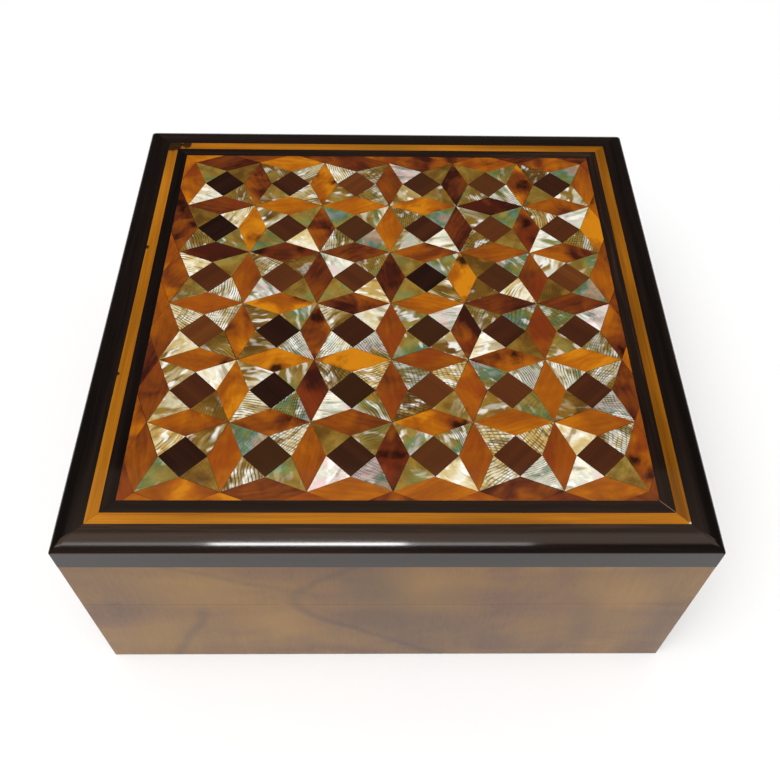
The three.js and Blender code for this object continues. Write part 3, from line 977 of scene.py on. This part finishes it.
def makeSquares():
    side = squareReach * math.sqrt(0.5)
    master = makeTile(4, squareReach, squareReach, shrinkFor(side))
    laid = []
    for row in range(cellCount):
        for column in range(cellCount):
            tone = [chance.betavariate(1.3, 1.3) * 0.85, chance.random(), chance.random()]
            place = gridPoint(column + 0.5, row + 0.5)
            laid.append(layTile(master, "square", place, 0, tone, chance.choice((45, 135))))
    bpy.data.objects.remove(master)
    squares = joinTiles(laid, "darkSquares")
    nodes = [f"dark_square_{r + 1}_{c + 1}" for r in range(cellCount) for c in range(cellCount)]
    wear(squares, squareWood, "square_wood", *nodes)


def makeShells():
    height = cellSize * math.sqrt(0.5) - squareReach * math.sqrt(0.5)
    halfBase = squareReach * math.sqrt(0.5)
    slant = math.hypot(height, halfBase)
    inradius = height * halfBase / (halfBase + slant)
    # a circle of three corners is 1.5 high and 2 sin 60 wide; the master's middle is its
    # incentre, so that shrinking it leaves an even kerf
    master = makeTile(3, halfBase / math.sin(math.radians(60)), height / 1.5, 1.0, height / 3)
    shrink = shrinkFor(inradius)
    putAt(master, Matrix.Diagonal((shrink, shrink, 1, 1)) @ Matrix.Translation((0, -inradius, 0)))
    middleRow = (cellCount - 1) / 2
    laid = []
    for row in range(cellCount):
        for column in range(cellCount):
            centre = gridPoint(column + 0.5, row + 0.5)
            for turn in (45, 135, 225, 315):
                place = centre + direction(turn) * (halfBase + inradius)
                # each tile's brightness is its own random tone plus painted sheen that grows towards the
                # front
                brightness = chance.betavariate(1.05, 1.1) + (middleRow - row) * tiles["paintedFrontSheen"]
                tone = [min(max(brightness, 0.0), 1.0), chance.random(), chance.betavariate(1.3, 1.9)]
                laid.append(layTile(master, "shellTile", place, turn - 90, tone))
    bpy.data.objects.remove(master)
    shells = joinTiles(laid, "shellStars")
    wear(shells, shellMaterial, "shell", "shell_stars")


def burlTone():
    return [chance.betavariate(2.0, 2.1), chance.random(), chance.random()]


def makeLozenges():
    inradius = cellSize / 2 * math.sin(math.radians(22.5))
    master = makeTile(4, cellSize / 2, lozengeHalfWidth, shrinkFor(inradius))
    laid = []
    for line in range(cellCount + 1):
        for step in range(cellCount):
            for turn, place in ((0, gridPoint(step + 0.5, line)), (90, gridPoint(line, step + 0.5))):
                tile = layTile(master, "lozenge", place, turn, burlTone(), chance.uniform(-30, 30))
                if line in (0, cellCount):
                    trimToField(tile)
                laid.append(tile)
    bpy.data.objects.remove(master)
    return laid


def makeBorderTiles():
    # a wedge at each border grid point, and at each corner two that meet on the mitre
    reach = cellSize * tiles["wedgeReach"]
    apex = math.radians(67.5)
    inradiusShift = tiles["kerf"] / 2 / math.sin(apex)
    base = reach * math.sin(apex) / math.sin(math.radians(60))
    master = makeTile(3, base, reach * math.cos(apex) / 1.5, 1.0)
    top = max(v.co.y for v in master.data.vertices)
    putAt(master, Matrix.Translation((0, -top - inradiusShift, 0)))
    laid = []
    for side in range(4):
        quarter = Matrix.Rotation(math.radians(side * 90), 2)
        for step in range(cellCount + 1):
            place = quarter @ gridPoint(step, 0)
            tile = layTile(master, "borderWedge", place, side * 90, burlTone(), chance.uniform(-30, 30))
            if step in (0, cellCount):
                along = direction(side * 90 + (135 if step == 0 else 45))
                corner = (fieldPlace @ Vector((*place, 0))).to_3d()
                outward = Vector((*along, 0))
                saw(tile, corner - outward * tiles["kerf"] / 2, outward)
            trimToField(tile)
            laid.append(tile)
    bpy.data.objects.remove(master)
    return laid


def makeGlue():
    # dark glue that fills the joints to just under the tile faces
    look = tiles
    bpy.ops.object.select_all(action="DESELECT")
    bpy.ops.mesh.primitive_plane_add(size=2 * fieldHalf, location=(0, 0, tileTop - look["glueDepth"]))
    glue = bpy.context.object
    takeName(glue, "tileGlue")
    bpy.ops.object.transform_apply(location=True, rotation=True, scale=True)
    editMode(glue)
    bpy.ops.mesh.select_all(action="SELECT")
    bpy.ops.mesh.subdivide(number_cuts=2 * cellCount - 1)
    bpy.ops.mesh.extrude_region_move(TRANSFORM_OT_translate={"value": (0, 0, -look["glueThickness"])})
    bpy.ops.mesh.select_all(action="SELECT")
    bpy.ops.mesh.normals_make_consistent(inside=False)
    objectMode()
    material = bpy.data.materials.new("glue")
    material.use_nodes = True
    tree = material.node_tree
    shader = tree.nodes["Principled BSDF"]
    place = addNode(tree, "ShaderNodeTexCoord").outputs["Object"]
    fleck = noise(tree, place, 900.0, 2.0).outputs["Fac"]
    colour = shaded(tree, linear(look["glue"]), remap(tree, fleck, 0.3, 0.7, 0.6, 1.5))
    tree.links.new(colour, shader.inputs["Base Color"])
    shader.inputs["Roughness"].default_value = 0.8
    shader.inputs["Specular IOR Level"].default_value = 0.1
    wear(glue, material, "dark_wood")


makeGlue()
makeSquares()
makeShells()
lozenges = joinTiles(makeLozenges() + makeBorderTiles(), "burlLozenges")
wear(lozenges, amberBurl, "lozenge_wood", "wood_lozenges")
print("marquetry ready")

for nodeName in ("body_bottom", "lid_board"):
    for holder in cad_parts[nodeName].material_slots:
        holder.material = plainWood


# floor, light and camera

floorLook = {"size": 8.0, "tone": "f6f6f6"}


def makeFloor():
    bpy.ops.object.select_all(action="DESELECT")
    bpy.ops.mesh.primitive_plane_add(size=floorLook["size"], location=(0, 0, 0))
    floor = bpy.context.object
    takeName(floor, "floor")
    material = bpy.data.materials.new("paleFloor")
    material.use_nodes = True
    shader = material.node_tree.nodes["Principled BSDF"]
    shader.inputs["Base Color"].default_value = linear(floorLook["tone"])
    shader.inputs["Roughness"].default_value = 0.9
    shader.inputs["Specular IOR Level"].default_value = 0.1
    floor.data.materials.append(material)


studio = {
    "sunStrength": 2.15,
    "sunAngle": 60,
    "sunFrom": (-0.2, -0.45, 1.0),
    # size, place and radiance; the key lights the box
    "key": ((0.5, 0.5), (-0.05, -0.42, 0.75), 1.3),
    # the cards are only mirrored in the lacquer; after the radiance come tint and spread
    "cards": {
        "cardNear": ((0.0825, 0.0076), (-0.0339, -0.1226, 0.150), 8.6, "ffffff", 100),
        "cardHalo": ((0.214, 0.0089), (-0.0455, -0.1226, 0.151), 1.45, "ffffff", 100),
        "ceilingFront": ((2.6, 0.72), (0.0, 0.26, 1.62), 1.2, "ffe0cc", 180),
        "ceilingBack": ((2.6, 1.05), (0.0, 0.38, 1.64), 0.28, "ffd8b8", 180),
    },
    "worldSeen": "ffffff",
    "worldFill": 0.45,
    "worldMirrored": 0.03,
}


def addAreaLamp(name, size, place, radiance):
    data = bpy.data.lights.new(name, "AREA")
    data.shape = "RECTANGLE"
    data.size, data.size_y = size
    data.energy = radiance * math.pi * size[0] * size[1]
    lamp = bpy.data.objects.new(name, data)
    lamp.location = place
    bpy.context.collection.objects.link(lamp)
    return lamp


def makeLights():
    look = studio
    sun = bpy.data.lights.new("softSun", "SUN")
    sun.energy = look["sunStrength"]
    sun.angle = math.radians(look["sunAngle"])
    softSun = bpy.data.objects.new("softSun", sun)
    softSun.rotation_euler = Vector(look["sunFrom"]).to_track_quat("Z", "Y").to_euler()
    softSun.visible_glossy = False
    bpy.context.collection.objects.link(softSun)
    key = addAreaLamp("key", *look["key"])
    key.rotation_euler = key.location.to_track_quat("Z", "Y").to_euler()
    key.visible_glossy = False
    for name, (size, place, radiance, tint, spread) in look["cards"].items():
        card = addAreaLamp(name, size, place, radiance)
        card.data.color = linear(tint)[:3]
        card.data.spread = math.radians(spread)
        card.visible_diffuse = False
        card.visible_camera = False

    world = bpy.data.worlds.new("studio")
    bpy.context.scene.world = world
    world.use_nodes = True
    tree = world.node_tree
    tree.nodes.clear()
    path = addNode(tree, "ShaderNodeLightPath").outputs
    strength = addNode(
        tree, "ShaderNodeMix", {0: path["Is Glossy Ray"], 2: look["worldFill"], 3: look["worldMirrored"]},
        data_type="FLOAT",
    ).outputs[0]
    fill = addNode(tree, "ShaderNodeBackground", {"Color": (1, 1, 1, 1), "Strength": strength})
    seen = addNode(tree, "ShaderNodeBackground", {"Color": linear(look["worldSeen"]), "Strength": 1.0})
    inputs = {0: path["Is Camera Ray"], 1: fill.outputs[0], 2: seen.outputs[0]}
    mix = addNode(tree, "ShaderNodeMixShader", inputs)
    addNode(tree, "ShaderNodeOutputWorld", {0: mix.outputs[0]})


viewpoint = {
    "place": (-0.0035, -0.2733, 0.3866),
    "pitchDown": 54.52,
    "yaw": -1.77,
    "roll": 1.57,
    "lens": 40.0,
    "shift": (-0.0073, 0.052),
}


def makeCamera():
    look = viewpoint
    data = bpy.data.cameras.new("camera")
    data.lens = look["lens"]
    data.sensor_width = 36.0
    data.shift_x, data.shift_y = look["shift"]
    camera = bpy.data.objects.new("camera", data)
    camera.location = look["place"]
    pitch, yaw, roll = (math.radians(look[key]) for key in ("pitchDown", "yaw", "roll"))
    turn = Matrix.Rotation(yaw, 3, "Z") @ Matrix.Rotation(math.pi / 2 - pitch, 3, "X")
    turn = turn @ Matrix.Rotation(roll, 3, "Z")
    camera.rotation_euler = turn.to_euler()
    bpy.context.collection.objects.link(camera)
    bpy.context.scene.camera = camera


makeFloor()
makeLights()
makeCamera()
bpy.context.scene.view_settings.view_transform = "Standard"
print("floor, lights and camera ready")
